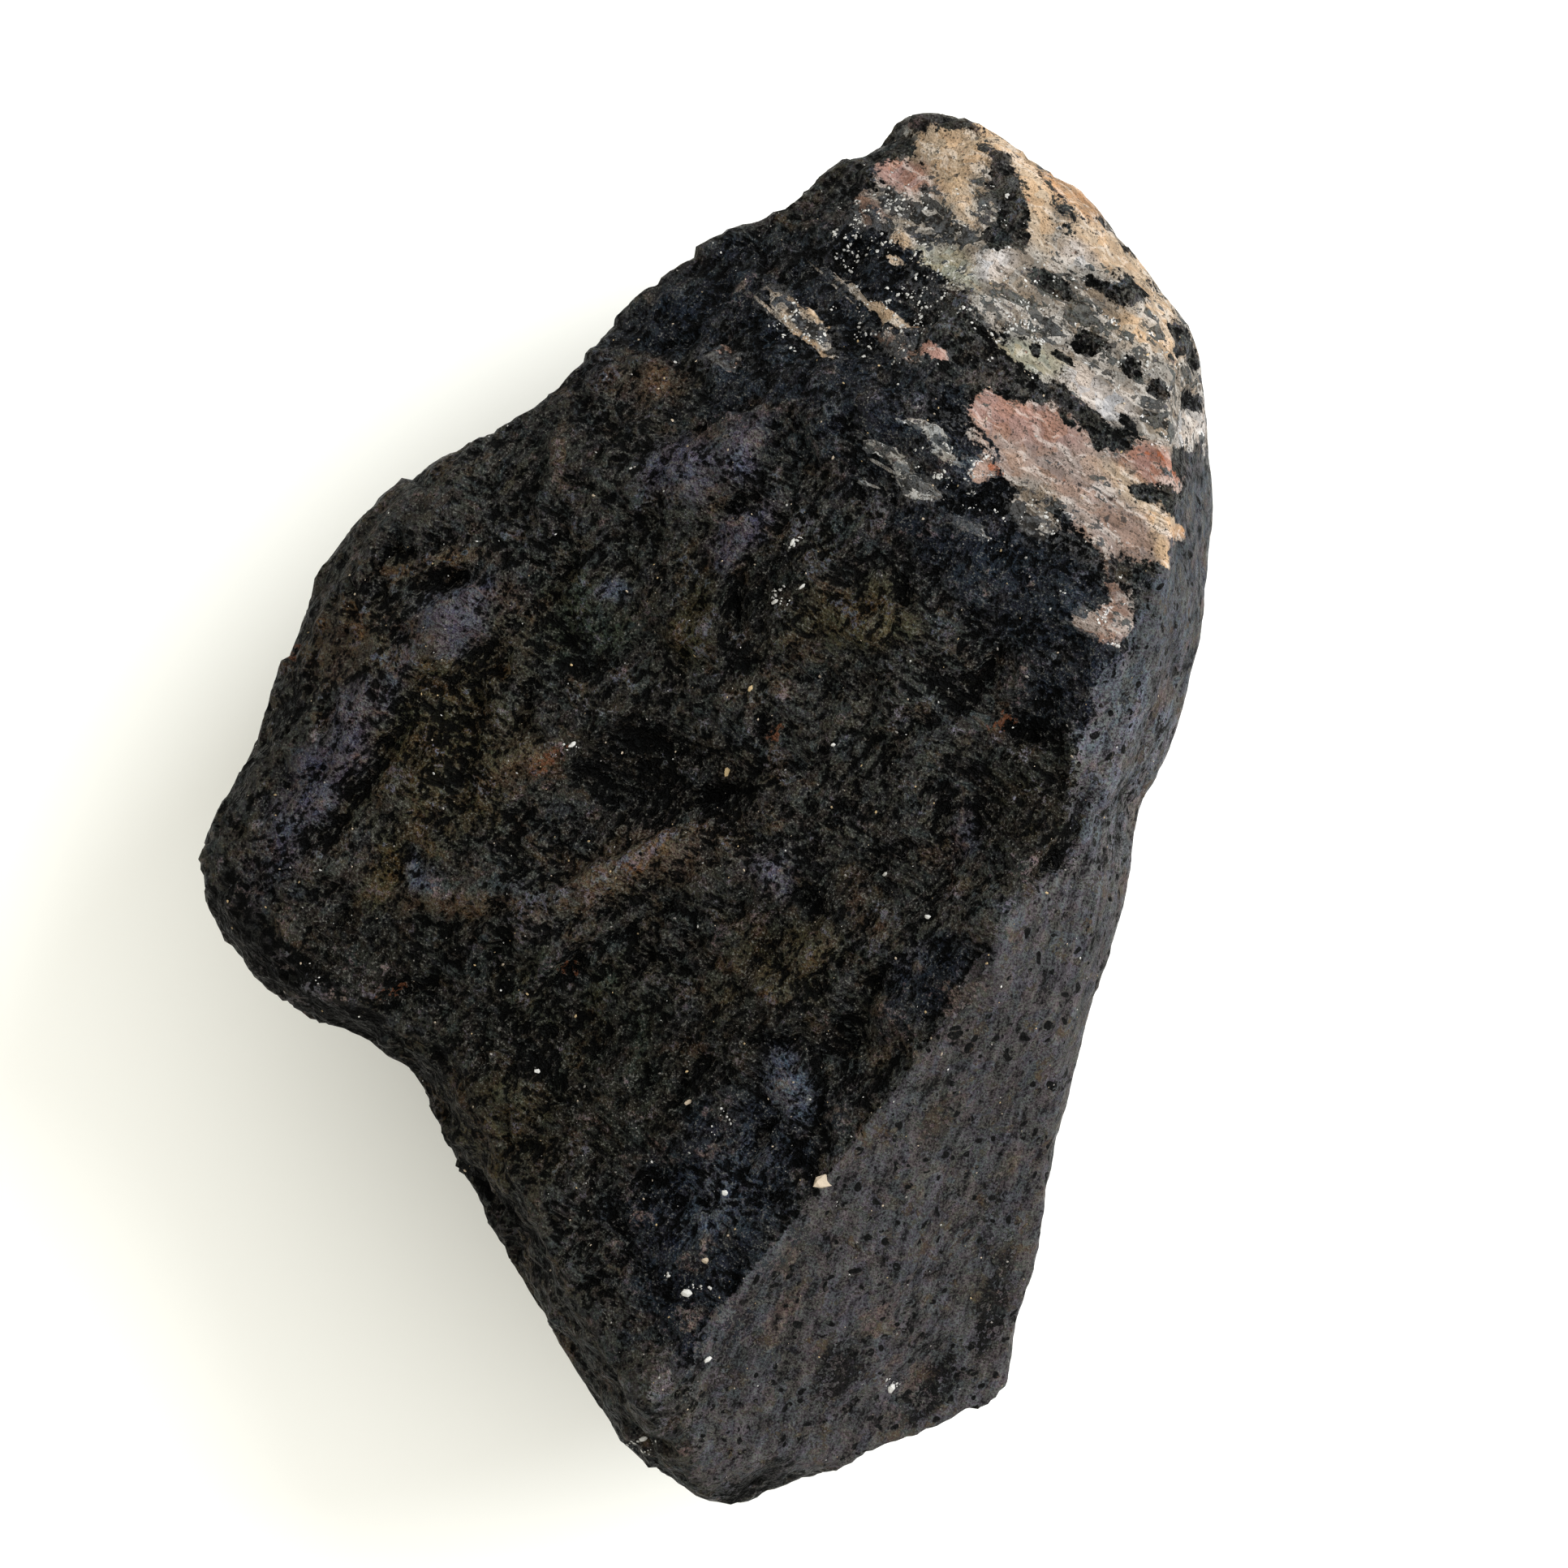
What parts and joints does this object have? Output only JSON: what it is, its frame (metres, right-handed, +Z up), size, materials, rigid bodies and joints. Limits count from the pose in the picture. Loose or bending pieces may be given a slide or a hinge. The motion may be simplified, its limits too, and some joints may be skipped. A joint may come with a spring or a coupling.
{
  "type": "rough black tourmaline specimen",
  "caption": "Hand-sized chunk of rough black tourmaline with a worn slanting face and a pale feldspar and quartz end, lying on its flat underside.",
  "frame": {"origin": "under the middle of the stone's plan, on the plane that it rests on", "axes": "+Z up out of the rest plane, +Y along the stone towards its feldspar end, +X across it to the right seen from above"},
  "size_m": [0.0526, 0.072, 0.0304],
  "materials": {
    "tourmaline": "matte"
  },
  "bodies": {
    "root": {"tourmaline_stone": "tourmaline"}
  },
  "joints": []
}
